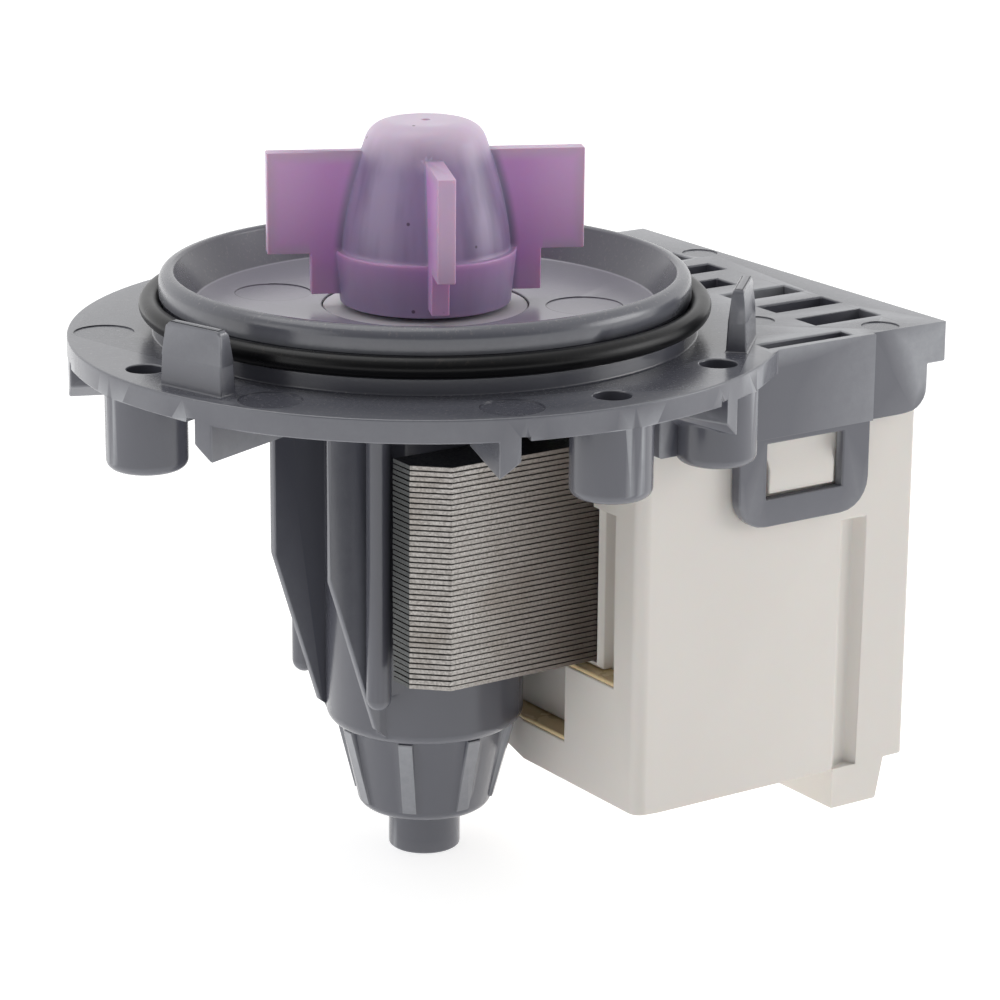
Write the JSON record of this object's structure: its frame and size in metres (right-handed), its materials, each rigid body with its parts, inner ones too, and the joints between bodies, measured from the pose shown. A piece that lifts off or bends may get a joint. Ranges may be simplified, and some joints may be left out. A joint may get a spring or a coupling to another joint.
{
  "type": "washer drain pump",
  "caption": "Washer drain pump: round flange with sealing ring and bladed impeller on top, rotor can in a laminated core and a boxed coil housing below.",
  "frame": {"origin": "on the pump axis, in the plane of the mounting flange's top face", "axes": "+Z along the pump axis, out of the impeller side; +X from the axis towards the coil housing and its terminals"},
  "size_m": [0.1021, 0.085, 0.0908],
  "materials": {
    "grey_plastic": "fine satin, glass-filled polypropylene",
    "black_rubber": "smooth, slightly dusty",
    "white_plastic": "smooth moulded",
    "ivory_plastic": "satin moulded, a little warm",
    "violet_plastic": "satin moulded, slightly translucent",
    "carbon_bearing": "machined carbon",
    "lamination_steel": "punched electrical steel, lacquered faces, bright edges",
    "rivet_steel": "plain",
    "shaft_steel": "ground",
    "copper_wire": "enamelled copper",
    "amber_resin": "cast resin, translucent",
    "tinned_brass": "tinned",
    "ferrite": "ground ferrite",
    "bronze_washer": "plain"
  },
  "bodies": {
    "stator": {"pump_housing": "grey_plastic", "o_ring": "black_rubber", "seal_cap": "white_plastic", "shaft_seal": "black_rubber", "bearing_holder": "white_plastic", "front_bearing": "carbon_bearing", "rear_bearing": "carbon_bearing", "rear_bearing_rubber": "black_rubber", "coil_housing": "ivory_plastic", "core_stack": "lamination_steel", "core_rivets": "rivet_steel", "left_bobbin": "ivory_plastic", "right_bobbin": "ivory_plastic", "left_winding": "copper_wire", "right_winding": "copper_wire", "potting_resin": "amber_resin", "left_terminal": "tinned_brass", "right_terminal": "tinned_brass"},
    "rotor": {"rotor_shaft": "shaft_steel", "rotor_magnet": "ferrite", "magnet_carrier": "white_plastic", "upper_thrust_washer": "bronze_washer", "lower_thrust_washer": "bronze_washer", "clutch_driver": "white_plastic"},
    "impeller": {"impeller": "violet_plastic", "hub_bush": "white_plastic", "clutch_bumper": "black_rubber"}
  },
  "joints": [
    {"name": "rotor_spin", "type": "hinge", "parent": "stator", "child": "rotor", "pos_m": [0, 0, 0], "axis": [0, 0, 1], "continuous": true},
    {"name": "impeller_free_play", "type": "hinge", "parent": "rotor", "child": "impeller", "pos_m": [0, 0, 0], "axis": [0, 0, 1], "range_deg": [-124, 124]}
  ]
}
